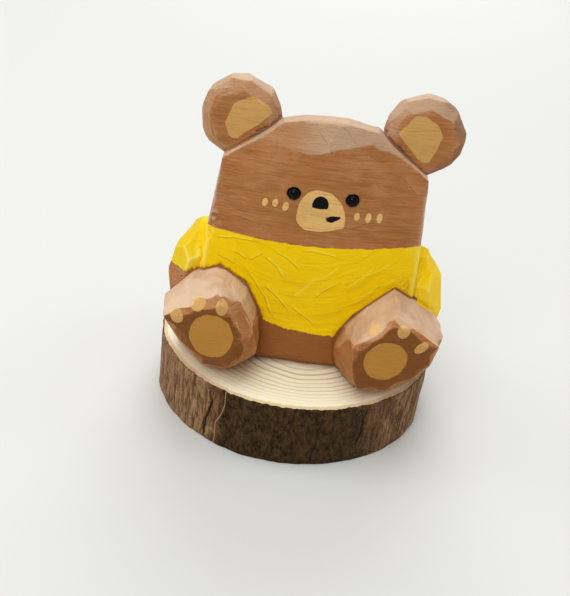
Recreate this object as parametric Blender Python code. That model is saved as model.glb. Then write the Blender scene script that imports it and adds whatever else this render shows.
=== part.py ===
"""A whittled and painted wooden bear, sitting on a slice of log.

Metres, +Z up. The bear looks along -Y, and the origin is the middle of the slice's underside.
The bear is one piece of wood. Its head and body are one upright block, and its ears, arms and
legs are left standing on that block. Every form is pared out of a blank by flat knife cuts.
"""

import math
import random

import bmesh
import bpy
from mathutils import Matrix, Vector

# The slice of log
SLICE_RADIUS = 0.0500
SLICE_THICKNESS = 0.0231
BARK_WAVE = 0.0003  # how far the slice's outline wanders from a circle
BARK_WAVES = ((2, 1.0, 0.6), (3, 0.6, 2.1), (5, 0.4, 4.0))  # waves round it, share, start
BARK_RIDGE = 0.0005  # depth of the furrows that run up the bark
BARK_FURROWS = 23
FURROW_BUNCHING = 1.7  # furrows stand closer together in places
FURROW_LEAN, FURROW_BEND = 1.3, 2.6  # and lean as they rise
FURROW_NARROWNESS = 0.7
BARK_SEGMENTS = 138
BARK_LEVELS = 4

# The bear. Its forms are drawn on a pattern that is CROWN units high from seat to crown.
BEAR_HEIGHT = 0.0873
CROWN = 87.3
UNIT = BEAR_HEIGHT / CROWN
BELLY_FORWARD = 0.0245  # the belly's front from the slice's middle
BLOCK_THICKNESS = 0.0310
BULGE_RADIUS = 0.150  # the front is a shallow curve from side to side
EAR_THICKNESS = 0.0125
EAR_SETBACK = 0.0068  # the ear's face behind the head's front
ARM_THICKNESS = 0.0185
FIT_GAP = 0.0003  # between pieces that touch

# The eyes are beads, sunk in round sockets
EYE_DIAMETER = 0.0040
EYE_PROUD = 0.0013
EYES = {-1: (-8.75, 63.9), 1: (9.85, 64.1)}

# The block's outline on the pattern, from the seat over the crown to the seat again
OUTLINE = (
    (-34.0, 0.0),
    (-38.0, 4.5),
    (-37.1, 30.6),
    (-35.1, 50.0),
    (-32.5, 71.3),
    (-15.8, 84.7),
    (-8.7, 86.5),
    (-0.8, 87.2),
    (5.2, 87.3),
    (14.9, 85.9),
    (33.6, 72.0),
    (35.0, 50.0),
    (36.9, 30.6),
    (37.8, 4.5),
    (34.0, 0.0),
)
LEFT_SLOPE, RIGHT_SLOPE = 4, 9  # where the outline's two slopes start, which carry the ears
FRONT_STRIPS = 11
FRONT_STRIP_ANGLE = 14.0  # degrees off square that the outermost strips face

# Cuts down the block's upright corners: sideways and upward turn, and how far in they start.
# The first is the front corner's, and the others are the back's.
CORNER_CUTS = ((48.0, 2.0, 0.0007), (135.0, 3.0, -0.0025), (158.0, 2.0, -0.0014))
# Cuts along the slopes that carry the ears: how far they lean forwards, and how far in
SLOPE_FRONT_CUT = (0.75, 0.0018)
SLOPE_BACK_CUT = (-1.1, 0.0075)

# The crown is level from the brow to its crest, then falls away behind
CREST_DEPTH = 0.0105
CREST_FALL = 21.0
# Cuts right across the nape and under the belly: upward turn, and a point's depth and height
NAPE_CUTS = ((137.0, 0.0225, 82.0), (162.0, 0.0290, 74.0))
BELLY_UNDERCUTS = ((-38.0, 0.0000, 3.6), (-142.0, 0.0310, 4.0))
# Flats on the forehead and temples: sideways and upward turn in degrees, and a point on each
BROW_CUTS = (
    (-8.0, 24.0, -8.0, 77.0),
    (4.0, 22.0, 9.0, 78.2),
    (14.0, 22.0, 18.0, 76.4),
    (-10.0, 8.0, -21.0, 68.5),
    (8.5, 8.0, 20.0, 67.3),
    (-25.0, 23.0, -26.0, 74.0),
)

# The ears, arms and legs on the pattern: across from the bear's middle, and up from the seat
EARS = {-1: (-28.4, 82.9), 1: (29.7, 84.6)}
EAR_RADIUS = 12.2
EAR_TURN = 3.0  # the ears face outwards
ARM_CENTRE = (36.3, 26.0)
ARM_RADII = (10.9, 19.5)
ARM_LEAN = 11.0  # the shoulders lean inwards
LEGS = {-1: (-29.8, 18.1), 1: (28.9, 17.6)}  # a foot's middle
LEG_FORWARD = 0.0055  # the foot's middle in front of the belly
LEG_ROOT = 0.0120  # the leg's root inside the block
LEG_BLANK = 0.1000

# The cuts that make a leg. Each has how far it faces outwards and upwards in degrees, and how
# far from the foot's middle it lies on the pattern.
LEG_CUTS = {
    -1: (
        (7, -3, 11.8),  # sole
        (84, 62, 13.2),  # top, outer side
        (-91, 65, 14.3),  # top, inner side
        (110, 60, 15.6),  # shoulder
        (-103, 55, 15.5),  # inner flank, from the top down
        (-90, 30, 13.7),
        (-87, 14, 14.4),
        (-88, -6, 16.6),
        (-85, -25, 19.2),
        (80, 55, 13.5),  # outer flank, from the top down
        (112, 38, 16.4),
        (86, 41, 16.0),
        (86, 12, 17.1),
        (84, -14, 14.9),
        (59, -32, 13.1),
        (33, 49, 15.1),  # above the outer toes
        (25, 64, 16.2),  # above the middle toe
        (-47, 41, 15.8),  # above the inner toe
        (-53, 28, 15.2),  # beside the pad
        (-43, -4, 16.7),
        (53, -38, 12.9),  # heel, from the outer side in
        (8, -54, 15.4),
        (-51, -41, 17.1),
    ),
    1: (
        (7, -3, 11.8),  # sole
        (-88, 48, 11.9),  # top, inner side
        (89, 59, 14.2),  # top, outer side
        (112, 62, 15.8),  # shoulder
        (104, 38, 18.5),
        (-95, 38, 12.3),  # inner flank, from the top down
        (-87, 23, 13.3),
        (-92, -4, 17.4),
        (-65, -8, 15.7),
        (-64, -30, 17.0),
        (92, 6, 18.5),  # outer flank
        (74, -10, 16.1),
        (-45, 44, 15.2),  # above the inner toe
        (-9, 45, 16.9),  # between the toes
        (33, 47, 16.7),  # above the middle toe
        (32, 61, 16.4),  # above the outer toe
        (54, -31, 14.8),  # heel, from the outer side in
        (43, -42, 14.7),
        (9, -58, 16.1),
        (-38, -56, 17.8),
    ),
}

# Rings of knife cuts: angle from the form's tip, number of cuts in the ring, turn of the first
# from the side that is nearer the bear's middle
SQUARE_EDGE = 1.4
ROUND_EDGE = 2.0
STRAY_TURN = 7.0  # how far a cut strays round the ring and out of it, in degrees, and in depth
STRAY_LEAN = 4.0
STRAY_DEPTH = 0.02
EAR_RINGS = ((0, 1, 0), (42, 8, 20), (90, 12, 5), (128, 8, 20), (180, 1, 0))
ARM_RINGS = ((0, 1, 0), (38, 6, 10), (68, 8, 30), (90, 8, 5), (112, 8, 22), (145, 5, 0), (180, 1, 0))

PAINTS = {
    "bear": ((0.38, 0.165, 0.065), 0.5, 0.0),
    "eye": ((0.006, 0.005, 0.005), 0.12, 0.0),
    "log": ((0.62, 0.44, 0.24), 0.8, 0.0),
}


def clear_scene():
    for old in list(bpy.data.objects):
        bpy.data.objects.remove(old, do_unlink=True)


def new_collection(name):
    made = bpy.data.collections.new(name)
    bpy.context.scene.collection.children.link(made)
    return made


def paint(name):
    colour, roughness, metallic = PAINTS[name]
    material = bpy.data.materials.new(name)
    material.use_nodes = True
    shader = material.node_tree.nodes["Principled BSDF"]
    shader.inputs["Base Color"].default_value = (*colour, 1.0)
    shader.inputs["Roughness"].default_value = roughness
    shader.inputs["Metallic"].default_value = metallic
    return material


def object_from(form, name, collection, material=None):
    """Puts a bmesh into a new object and frees the bmesh."""
    mesh = bpy.data.meshes.new(name)
    form.to_mesh(mesh)
    form.free()
    made = bpy.data.objects.new(name, mesh)
    collection.objects.link(made)
    if material:
        mesh.materials.append(material)
    return made


def cutter_from(form, name, collection):
    made = object_from(form, name, collection)
    made.hide_render = True
    made.display_type = "WIRE"
    return made


def blank(size):
    """A block of wood to pare from, wider than any form here."""
    form = bmesh.new()
    bmesh.ops.create_cube(form, size=size)
    return form


def pare(form, point, facing):
    """One flat knife cut: takes away what lies beyond point in the direction facing."""
    everything = form.verts[:] + form.edges[:] + form.faces[:]
    cut = bmesh.ops.bisect_plane(
        form, geom=everything, dist=1e-6, plane_co=point, plane_no=facing, clear_outer=True
    )
    rim = [part for part in cut["geom_cut"] if isinstance(part, bmesh.types.BMEdge)]
    if len(rim) > 2:
        bmesh.ops.contextual_create(form, geom=rim)


def tidy(form):
    """Joins corners that two cuts leave almost on each other."""
    bmesh.ops.remove_doubles(form, verts=form.verts[:], dist=0.00012)
    bmesh.ops.dissolve_degenerate(form, edges=form.edges[:], dist=0.00008)
    bmesh.ops.recalc_face_normals(form, faces=form.faces[:])


def whittle_round(size, centre, turn, radii, squareness, rings, side):
    """A rounded form made of rings of flat cuts round its tip, which is its own -Y.

    A cut that faces (x, y, z) lies where it touches the rounded form of these radii. Seen
    from its tip the form is an ellipse. From there to its tip its edge is rounded by the
    squareness: 2 is an ellipsoid, and nearer 1 has a flatter end and a tighter edge. Each cut
    strays a little, as a hand does.
    """
    hand = random.Random(len(rings) * 10 + side)
    form = blank(size)
    bmesh.ops.translate(form, verts=form.verts[:], vec=centre)
    for from_tip, count, first in rings:
        for step in range(count):
            stray = hand.uniform(-1, 1), hand.uniform(-1, 1), hand.uniform(-1, 1)
            if count == 1:
                stray = 0.0, 0.0, 0.0
            round_tip = math.radians(first + 360.0 * step / count + STRAY_TURN * stray[0])
            lean = math.radians(from_tip + STRAY_LEAN * stray[1])
            outward = math.sin(lean)
            facing = Vector(
                (-side * outward * math.cos(round_tip), -math.cos(lean), outward * math.sin(round_tip))
            )
            ellipse = math.hypot(radii[0] * facing.x, radii[2] * facing.z)
            reach = (ellipse**squareness + abs(radii[1] * facing.y) ** squareness) ** (1 / squareness)
            reach *= 1.0 + STRAY_DEPTH * stray[2]
            facing = turn @ facing
            pare(form, centre + facing * reach, facing)
    tidy(form)
    return form


def seat_height():
    return SLICE_THICKNESS + FIT_GAP


def on_bear(across, depth, up):
    """A point from pattern units across and up, and metres behind the belly's front."""
    return Vector((across * UNIT, depth - BELLY_FORWARD, seat_height() + up * UNIT))


def front_depth(across):
    """How far the curved front has fallen back at this distance from the bear's middle."""
    return BULGE_RADIUS - math.sqrt(BULGE_RADIUS**2 - (across * UNIT) ** 2)


def facing_from(sideways, upward):
    """The direction of a cut that is turned sideways and upward from facing forward (-Y)."""
    side, up = math.radians(sideways), math.radians(upward)
    return Vector((math.sin(side) * math.cos(up), -math.cos(side) * math.cos(up), math.sin(up)))


def outline_facing(start):
    """The outward direction of the outline's stretch from this corner to the next."""
    (across, up), (next_across, next_up) = OUTLINE[start : start + 2]
    return Vector((up - next_up, 0, next_across - across)).normalized()


def head_and_body():
    """The upright block: its outline, its curved front and back, and the cuts over its edges."""
    form = blank(4 * BEAR_HEIGHT)
    bmesh.ops.translate(form, verts=form.verts[:], vec=on_bear(0, BLOCK_THICKNESS / 2, CROWN / 2))
    for start in range(len(OUTLINE) - 1):
        pare(form, on_bear(OUTLINE[start][0], 0, OUTLINE[start][1]), outline_facing(start))
    middle = (FRONT_STRIPS - 1) / 2
    for strip in range(FRONT_STRIPS):
        sideways = FRONT_STRIP_ANGLE * (strip - middle) / middle
        across = BULGE_RADIUS * math.sin(math.radians(sideways)) / UNIT
        pare(form, on_bear(across, front_depth(across), CROWN / 2), facing_from(sideways, 0))
        behind = on_bear(across, BLOCK_THICKNESS - front_depth(across), CROWN / 2)
        pare(form, behind, facing_from(180 - sideways, 0))
    for lean, depth, up in NAPE_CUTS + BELLY_UNDERCUTS:
        pare(form, on_bear(0, depth, up), facing_from(0, lean))
    for sideways, upward, across, up in BROW_CUTS:
        pare(form, on_bear(across, front_depth(across), up), facing_from(sideways, upward))
    fall = math.tan(math.radians(CREST_FALL))
    for start in range(LEFT_SLOPE, RIGHT_SLOPE + 1):
        across, up = OUTLINE[start]
        pare(form, on_bear(across, CREST_DEPTH, up), outline_facing(start) + Vector((0, fall, 0)))
    corner_cuts(form, -1, LEFT_SLOPE)
    corner_cuts(form, 1, RIGHT_SLOPE)
    tidy(form)
    return form


def corner_cuts(form, side, slope):
    """Narrow cuts down the upright corners, and along the slope that carries the ear."""
    across, up = OUTLINE[slope - 1 if side < 0 else slope + 2]
    fall = front_depth(across)
    for sideways, upward, inset in CORNER_CUTS:
        depth = fall + inset if inset > 0 else BLOCK_THICKNESS - fall + inset
        pare(form, on_bear(across, depth, up), facing_from(sideways * side, upward))
    (low, low_up), (high, high_up) = OUTLINE[slope : slope + 2]
    across, up = (low + high) / 2, (low_up + high_up) / 2
    lean, inset = SLOPE_FRONT_CUT
    edge = on_bear(across, front_depth(across) + inset, up)
    pare(form, edge, outline_facing(slope) - Vector((0, lean, 0)))
    lean, inset = SLOPE_BACK_CUT
    edge = on_bear(across, BLOCK_THICKNESS - inset, up)
    pare(form, edge, outline_facing(slope) - Vector((0, lean, 0)))


def ear(side):
    radius = EAR_RADIUS * UNIT
    across, up = EARS[side]
    centre = on_bear(across, EAR_SETBACK + EAR_THICKNESS / 2, up)
    turn = Matrix.Rotation(math.radians(EAR_TURN * side), 3, "Z")
    radii = (radius, EAR_THICKNESS / 2, radius)
    return whittle_round(4 * radius, centre, turn, radii, SQUARE_EDGE, EAR_RINGS, side)


def arm(side):
    across, up = ARM_CENTRE
    wide, long = (r * UNIT for r in ARM_RADII)
    centre = on_bear(across * side, BLOCK_THICKNESS / 2, up)
    turn = Matrix.Rotation(math.radians(-ARM_LEAN * side), 3, "Y") @ Matrix.Rotation(math.radians(90), 3, "X")
    radii = (wide, long, ARM_THICKNESS / 2)
    return whittle_round(4 * long, centre, turn, radii, ROUND_EDGE, ARM_RINGS, side)


def leg(side):
    """A leg from its root in the block to its sole, as flat cuts round the foot's middle."""
    across, up = LEGS[side]
    centre = on_bear(across, -LEG_FORWARD, up)
    form = blank(LEG_BLANK)
    bmesh.ops.translate(form, verts=form.verts[:], vec=centre)
    for sideways, upward, reach in LEG_CUTS[side]:
        facing = facing_from(sideways * side, upward)
        pare(form, centre + facing * reach * UNIT, facing)
    pare(form, on_bear(0, LEG_ROOT, 0), Vector((0, 1, 0)))
    tidy(form)
    return form


def eye_centre(side):
    across, up = EYES[side]
    sunk = EYE_DIAMETER / 2 - EYE_PROUD
    return on_bear(across, front_depth(across) + sunk, up)


def ball(centre, radius):
    form = bmesh.new()
    bmesh.ops.create_uvsphere(form, u_segments=20, v_segments=12, radius=radius)
    bmesh.ops.rotate(form, verts=form.verts[:], matrix=Matrix.Rotation(math.radians(90), 3, "X"))
    bmesh.ops.translate(form, verts=form.verts[:], vec=centre)
    return form


def combine(target, tool, operation):
    modifier = target.modifiers.new(f"{operation.lower()} {tool.name}", "BOOLEAN")
    modifier.operation = operation
    modifier.solver = "EXACT"
    modifier.object = tool


def bear(parts, cutters):
    """The bear as one solid: the block with ears, arms and legs, cut flat to sit."""
    body = object_from(head_and_body(), "bear", parts, paint("bear"))
    for side, name in ((-1, "left"), (1, "right")):
        for make in (ear, arm, leg):
            limb = cutter_from(make(side), f"{make.__name__}_{name}", cutters)
            combine(body, limb, "UNION")
        socket = ball(eye_centre(side), EYE_DIAMETER / 2 + FIT_GAP)
        combine(body, cutter_from(socket, f"socket_{name}", cutters), "DIFFERENCE")
    below_seat = blank(4 * BEAR_HEIGHT)
    bmesh.ops.translate(below_seat, verts=below_seat.verts[:], vec=(0, 0, seat_height() - 2 * BEAR_HEIGHT))
    combine(body, cutter_from(below_seat, "below_seat", cutters), "DIFFERENCE")


def eye(side, name, parts):
    made = object_from(ball(eye_centre(side), EYE_DIAMETER / 2), name, parts, paint("eye"))
    made.data.shade_smooth()


def bark_radius(turn, up):
    """The slice's radius at this angle and height: a wandering circle with leaning furrows.

    A furrow is where the sine of half its own angle is near nought, so that its floor is
    narrow and the ridges between furrows are broad.
    """
    wander = sum(share * math.sin(count * turn + start) for count, share, start in BARK_WAVES)
    bunching = FURROW_BUNCHING * math.sin(3 * turn)
    lean = FURROW_LEAN * math.sin(FURROW_BEND * up + 2 * turn)
    ridge = abs(math.sin((BARK_FURROWS * turn + bunching + lean) / 2)) ** FURROW_NARROWNESS
    return SLICE_RADIUS - 2 * BARK_WAVE - BARK_RIDGE + BARK_WAVE * wander + BARK_RIDGE * ridge


def wood_slice(parts):
    """A disc cut across a log, with its bark on: a cylinder whose wall follows bark_radius."""
    form = bmesh.new()
    bmesh.ops.create_cone(
        form, cap_ends=True, segments=BARK_SEGMENTS, radius1=SLICE_RADIUS, radius2=SLICE_RADIUS,
        depth=SLICE_THICKNESS,
    )
    for level in range(1, BARK_LEVELS):
        height = SLICE_THICKNESS * (level / BARK_LEVELS - 0.5)
        everything = form.verts[:] + form.edges[:] + form.faces[:]
        bmesh.ops.bisect_plane(form, geom=everything, dist=1e-6, plane_co=(0, 0, height), plane_no=(0, 0, 1))
    for corner in form.verts:
        turn = math.atan2(corner.co.y, corner.co.x)
        radius = bark_radius(turn, corner.co.z / SLICE_THICKNESS)
        corner.co.x = radius * math.cos(turn)
        corner.co.y = radius * math.sin(turn)
    xs = [corner.co.x for corner in form.verts]
    ys = [corner.co.y for corner in form.verts]
    middle = Vector(((min(xs) + max(xs)) / 2, (min(ys) + max(ys)) / 2, -SLICE_THICKNESS / 2))
    bmesh.ops.translate(form, verts=form.verts[:], vec=-middle)
    made = object_from(form, "wood_slice", parts, paint("log"))
    made.data.set_sharp_from_angle(angle=math.radians(50))


def main():
    clear_scene()
    parts = new_collection("carved wooden bear")
    cutters = new_collection("cutters")
    bear(parts, cutters)
    eye(-1, "eye_left", parts)
    eye(1, "eye_right", parts)
    wood_slice(parts)


main()
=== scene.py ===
"""A whittled and painted wooden bear, sitting on a slice of log with its bark on.

Metres, +Z up, and the bear looks along -Y. Lengths that are marked mm are in millimetres, which
the carving and the paint are worked out in. The bear's skin starts from the CAD bear, gets finer
knife cuts along its ridges and shallow ones on its flats, and is painted by hand in brown,
yellow, tan and black. The slice has furrowed bark round pale end grain with growth rings.
"""

import math

import bmesh
import bpy
import numpy as np
from mathutils import Matrix, Vector


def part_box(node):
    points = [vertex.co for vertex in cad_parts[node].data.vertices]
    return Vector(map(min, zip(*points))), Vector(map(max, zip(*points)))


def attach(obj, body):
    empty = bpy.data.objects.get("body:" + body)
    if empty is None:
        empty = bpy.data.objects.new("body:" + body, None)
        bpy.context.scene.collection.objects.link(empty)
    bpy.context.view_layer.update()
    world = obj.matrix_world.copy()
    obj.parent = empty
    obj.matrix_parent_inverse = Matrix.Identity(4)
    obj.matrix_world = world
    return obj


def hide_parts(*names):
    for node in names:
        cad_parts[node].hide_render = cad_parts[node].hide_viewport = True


MM = 0.001

# The bear's carving
SKIN_GRAIN = 0.36 * MM  # spacing of the skin's points before they are thinned out
SKIN_TRIANGLES = 190_000
EDGE_SOFTENING = 1  # rounds of smoothing, which the paint does to a knife's edge
RIDGE_LEAST = math.radians(11)
RIDGE_SHORTEST = 2.5  # mm, a shorter one is left alone
RIDGE_CUT_EVERY = 15.0  # mm of ridge to a cut
RIDGE_CUT_WIDTHS = (0.8, 2.8)  # mm
RIDGE_CUT_LENGTHS = (5.0, 13.0)  # mm
RIDGE_CUT_DEEPEST = 0.5  # mm
FLAT_CUTS = 700
FLAT_CUT_DEPTHS = (0.04, 0.12)  # mm
FLAT_CUT_RADII = ((2.0, 4.2), (5.0, 9.5))  # mm across and along
UPRIGHT_CUTS = 0.4  # this share of the flat cuts runs upright, and the rest level
KNIFE_REACH = 1.3  # a cut changes nothing further off than this many half lengths
KNIFE_FACING = 0.35  # nor what faces less than this towards it
SURROUNDINGS = 6  # rounds of averaging that give the mean of the points round a point
RIDGE_FULL = 0.14  # mm that a full ridge stands out of that mean
CREASE_FULL = 0.16  # mm that a full crease lies under it
CREASE_DEPTH = 0.08  # mm that the knife went in further where two forms meet
LEGS_START = -26.0  # mm, the legs are in front of this
LEG_RIDGE_FAVOUR = 3.0  # the legs were rounded with this many times the cuts
LEG_CUT_SIZE = 1.8  # and with cuts this much wider

# The slice of log
LOG_TURNS = 960
BARK_ROWS = 62
BARK_RADIUS = 49.05  # mm, where the bark's relief is counted from
ROUND_RADIUS = 49.0  # mm, for lengths measured round the bark and in from the rim
PITH = (4.0, -14.0)  # mm, the growth rings' middle
RING_COUNT = 12.6
RING_RIM = 48.2  # mm, the radius of the outermost ring

# Camera: where it stands and looks, as turns and lengths in mm
CAMERA_TURN = -1.4
CAMERA_RISE = 29.3
CAMERA_ROLL = 8.3
CAMERA_DISTANCE = 328.9
CAMERA_TARGET = (-6.2, 0.0, 36.1)
PICTURE = (570, 596)
PICTURE_MIDDLE = (285.0, 298.0)
FOCAL_PIXELS = 900.0
SENSOR = 36.0

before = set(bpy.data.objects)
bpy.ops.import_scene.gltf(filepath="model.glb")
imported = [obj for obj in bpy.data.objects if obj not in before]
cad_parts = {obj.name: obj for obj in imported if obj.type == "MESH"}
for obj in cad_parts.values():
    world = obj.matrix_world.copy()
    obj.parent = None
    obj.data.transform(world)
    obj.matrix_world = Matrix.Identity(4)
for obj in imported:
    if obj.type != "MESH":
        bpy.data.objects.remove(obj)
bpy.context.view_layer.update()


def linear(red, green, blue):
    """A colour as a screen shows it, 0 to 255, as light."""
    shares = np.array((red, green, blue)) / 255
    low = shares / 12.92
    high = ((shares + 0.055) / 1.055) ** 2.4
    return (*np.where(shares <= 0.04045, low, high).tolist(), 1.0)


# Meshes


def points_of(mesh):
    flat = np.empty(len(mesh.vertices) * 3, np.float32)
    mesh.vertices.foreach_get("co", flat)
    return flat.reshape(-1, 3).astype(float)


def normals_of(mesh):
    flat = np.empty(len(mesh.vertices) * 3, np.float32)
    mesh.vertex_normals.foreach_get("vector", flat)
    return flat.reshape(-1, 3).astype(float)


def edges_of(mesh):
    flat = np.empty(len(mesh.edges) * 2, np.int32)
    mesh.edges.foreach_get("vertices", flat)
    return flat.reshape(-1, 2)


def set_points(mesh, points):
    mesh.vertices.foreach_set("co", np.ascontiguousarray(points, np.float32).ravel())
    mesh.update()


def set_attribute(mesh, name, values):
    layer = mesh.attributes.new(name, "FLOAT", "POINT")
    layer.data.foreach_set("value", np.ascontiguousarray(values, np.float32))


def new_object(name, mesh):
    made = bpy.data.objects.new(name, mesh)
    bpy.context.scene.collection.objects.link(made)
    return made


def after_modifiers(piece, *steps):
    """The mesh that a piece has after these modifiers, each given as its kind and settings."""
    for kind, settings in steps:
        modifier = piece.modifiers.new(kind.lower(), kind)
        for name, value in settings.items():
            setattr(modifier, name, value)
    bpy.context.view_layer.update()
    ready = piece.evaluated_get(bpy.context.evaluated_depsgraph_get())
    mesh = bpy.data.meshes.new_from_object(ready)
    piece.modifiers.clear()
    return mesh


def finish_piece(name, mesh, slot, *nodes):
    """Puts a finished mesh in the scene in the place of these CAD nodes."""
    piece = new_object(name, mesh)
    mesh.shade_smooth()
    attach(piece, "root")
    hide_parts(*nodes)
    return piece


def lathe(profile_radius, profile_height, turns):
    """A closed surface round an upright axis, as points and faces.

    Both profiles are arrays with a row per step from the lowest middle to the highest middle
    and a column per turn: a point is its radius along the turn's direction, at its height.
    The first and last rows are one point each.
    """
    rows = profile_radius.shape[0]
    turn = np.arange(turns) * (2 * math.pi / turns)
    ring = np.stack(
        [profile_radius * np.cos(turn), profile_radius * np.sin(turn), profile_height], -1
    ).reshape(-1, 3)
    low = (0.0, 0.0, float(profile_height[0].mean()))
    high = (0.0, 0.0, float(profile_height[-1].mean()))
    points = np.vstack([ring, low, high])
    this = np.arange(turns)
    following = (this + 1) % turns
    start = (np.arange(rows - 1) * turns)[:, None]
    quads = np.stack(
        [start + this, start + following, start + turns + following, start + turns + this], -1
    ).reshape(-1, 4)
    last = (rows - 1) * turns
    fans = np.vstack(
        [
            np.stack([following, this, np.full(turns, len(ring))], -1),
            np.stack([last + this, last + following, np.full(turns, len(ring) + 1)], -1),
        ]
    )
    return points, quads, fans


# The bear's carving


def merged(node):
    """A copy of a CAD node's mesh with its loose triangles joined."""
    form = bmesh.new()
    form.from_mesh(node.data)
    bmesh.ops.remove_doubles(form, verts=form.verts[:], dist=1e-6)
    mesh = bpy.data.meshes.new("merged")
    form.to_mesh(mesh)
    form.free()
    return mesh


def ridges_of(mesh):
    """The mesh's convex ridges: middle, direction, length, and the two facings beside it, in mm."""
    form = bmesh.new()
    form.from_mesh(mesh)
    found = []
    for edge in form.edges:
        if edge.calc_length() <= RIDGE_SHORTEST * MM or len(edge.link_faces) != 2:
            continue
        if edge.calc_face_angle_signed(0) > RIDGE_LEAST:
            one, other = (corner.co for corner in edge.verts)
            middle, along = (one + other) / 2 / MM, (other - one) / MM
            beside = [face.normal for face in edge.link_faces]
            found.append((*middle, *along, *beside[0], *beside[1]))
    form.free()
    return np.array(found)


def unit(vectors):
    return vectors / np.linalg.norm(vectors, axis=-1, keepdims=True)


def neighbours_mean(values, edges, count):
    """For each point, the mean of the values at the points that share an edge with it."""
    one, other = edges[:, 0], edges[:, 1]
    share = np.bincount(one, minlength=count) + np.bincount(other, minlength=count)
    share = np.maximum(share, 1)
    columns = []
    for column in values.T:
        total = np.bincount(one, column[other], count) + np.bincount(other, column[one], count)
        columns.append(total / share)
    return np.stack(columns, -1)


class Knife:
    """Cuts into a cloud of skin points. The points are kept in order along X, so that each cut
    looks only at the points that are near it."""

    def __init__(self, points, normals):
        self.order = np.argsort(points[:, 0])
        self.points = points[self.order]
        self.normals = normals[self.order]
        self.across = self.points[:, 0].copy()

    def cut(self, centre, facing, along, depth, half_length, half_width=None):
        """Takes away what stands above a hollow. Its floor lies the depth below the centre and
        rises with the square of the distance along the cut, and across it too if a width is
        given, so that it meets the centre's level at the half length and half width."""
        first, past = centre[0] - half_length, centre[0] + half_length
        start, end = np.searchsorted(self.across, (first, past))
        points = self.points[start:end]
        offset = points - centre
        above = offset @ facing + depth
        above -= depth * (offset @ along / half_length) ** 2
        if half_width:
            above -= depth * (offset @ np.cross(facing, along) / half_width) ** 2
        near = (offset**2).sum(1) < (KNIFE_REACH * half_length) ** 2
        facing_it = self.normals[start:end] @ facing > KNIFE_FACING
        own = np.clip(4 - above / (0.5 * depth), 0, 1)  # leaves other forms that stand in the way
        points -= (np.maximum(0, above) * own * (near & facing_it))[:, None] * facing

    def result(self):
        points = np.empty_like(self.points)
        points[self.order] = self.points
        return points


def cut_ridges(knife, ridges, hand):
    """Short flat cuts along the ridges, where the carver took the sharpness off.

    A ridge whose sides face an angle apart falls away from its top by the tangent of half
    that angle, so a cut of a given width is half the width times that tangent deep.
    """
    lengths = np.linalg.norm(ridges[:, 3:6], axis=1)
    on_leg = ridges[:, 1] < LEGS_START
    lengths *= np.where(on_leg, LEG_RIDGE_FAVOUR, 1.0)
    share = lengths / lengths.sum()
    for _ in range(int(lengths.sum() / RIDGE_CUT_EVERY)):
        ridge = ridges[hand.choice(len(ridges), p=share)]
        along = unit(ridge[3:6])
        centre = ridge[:3] + ridge[3:6] * hand.uniform(-0.45, 0.45)
        lean = hand.uniform(0.3, 0.7)
        facing = unit(lean * ridge[6:9] + (1 - lean) * ridge[9:12] + hand.normal(0, 0.035, 3))
        half_angle = math.acos(np.clip(ridge[6:9] @ ridge[9:12], -1, 1)) / 2
        size = LEG_CUT_SIZE if ridge[1] < LEGS_START else 1.0
        width = hand.uniform(*RIDGE_CUT_WIDTHS) * size
        depth = min(width / 2 * math.tan(half_angle), RIDGE_CUT_DEEPEST * size)
        knife.cut(centre, facing, along, depth, hand.uniform(*RIDGE_CUT_LENGTHS) / 2)


def cut_flats(knife, hand):
    """Shallow oval hollows all over, from the knife's flat strokes. They run mostly upright or
    level, along the blank's own sides."""
    for _ in range(FLAT_CUTS):
        chosen = hand.integers(len(knife.points))
        centre, facing = knife.points[chosen].copy(), unit(knife.normals[chosen])
        upright = hand.random() < UPRIGHT_CUTS
        grain = np.array((0, 0, 1.0)) if upright else np.array((1.0, 0, 0))
        along = np.cross(np.cross(facing, grain + hand.normal(0, 0.35, 3)), facing)
        if np.linalg.norm(along) < 0.2:
            continue
        across_radius, along_radius = (hand.uniform(*radii) for radii in FLAT_CUT_RADII)
        depth = hand.uniform(*FLAT_CUT_DEPTHS)
        knife.cut(centre, facing, unit(along), depth, along_radius, across_radius)


def carved_skin(node):
    """The bear's skin as a mesh, with attributes for how much a point lies on a ridge or in a
    crease, measured by how far it stands out of the mean of the points round it."""
    hand = np.random.default_rng(7)
    base = merged(node)
    guide = new_object("guide", base)
    blank = new_object("blank", base.copy())
    mesh = after_modifiers(
        blank,
        ("REMESH", {"mode": "VOXEL", "voxel_size": SKIN_GRAIN}),
        ("SHRINKWRAP", {"target": guide, "wrap_method": "NEAREST_SURFACEPOINT"}),
    )
    edges = edges_of(mesh)
    knife = Knife(points_of(mesh) / MM, normals_of(mesh))
    cut_ridges(knife, ridges_of(base), hand)
    cut_flats(knife, hand)
    points = knife.result()
    count = len(points)
    for _ in range(EDGE_SOFTENING):
        points += 0.5 * (neighbours_mean(points, edges, count) - points)
    set_points(mesh, points * MM)
    normals = normals_of(mesh)
    wide = points
    for _ in range(SURROUNDINGS):
        wide = neighbours_mean(wide, edges, count)
    standing = ((points - wide) * normals).sum(1)
    crease = np.clip(-standing / CREASE_FULL, 0, 1)
    points -= normals * (CREASE_DEPTH * crease)[:, None]
    set_points(mesh, points * MM)
    set_attribute(mesh, "ridge", np.clip(standing / RIDGE_FULL, 0, 1))
    set_attribute(mesh, "crease", crease)
    mesh.calc_loop_triangles()
    worked = new_object("worked", mesh)
    thinned = after_modifiers(
        worked,
        ("DECIMATE", {"ratio": min(1.0, SKIN_TRIANGLES / len(mesh.loop_triangles))}),
    )
    for helper in (guide, blank, worked):
        bpy.data.objects.remove(helper)
    return thinned


# Materials


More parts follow.
